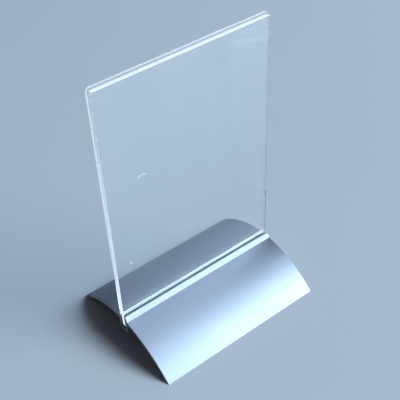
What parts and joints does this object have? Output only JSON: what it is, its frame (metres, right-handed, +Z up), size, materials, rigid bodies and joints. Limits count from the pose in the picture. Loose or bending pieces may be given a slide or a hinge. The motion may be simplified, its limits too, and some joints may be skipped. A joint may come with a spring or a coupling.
{
  "type": "table-top sign stand",
  "caption": "Table-top sign stand: an arched aluminium base with a lipped slot that holds clear upright panes, which lift out together; a card slides in between the panes.",
  "frame": {"origin": "middle of the base on the surface that it stands on", "axes": "+Z up; X runs along the slot and is the panes' width; -Y is the side that a reader faces"},
  "size_m": [0.1054, 0.0842, 0.168],
  "materials": {
    "aluminium": "satin anodised",
    "soft_gasket": "satin, milky",
    "clear_pane": "clear acrylic, polished faces, satin cut edges",
    "clear_bond": "clear tape"
  },
  "bodies": {
    "base": {"base_profile": "aluminium", "slot_gasket": "soft_gasket"},
    "pane_pack": {"front_pane": "clear_pane", "back_pane": "clear_pane", "bond_strip": "clear_bond"}
  },
  "joints": [
    {"name": "pane_pack_lift", "type": "slide", "parent": "base", "child": "pane_pack", "axis": [0, 0, 1], "range_m": [0, 0.02]}
  ]
}
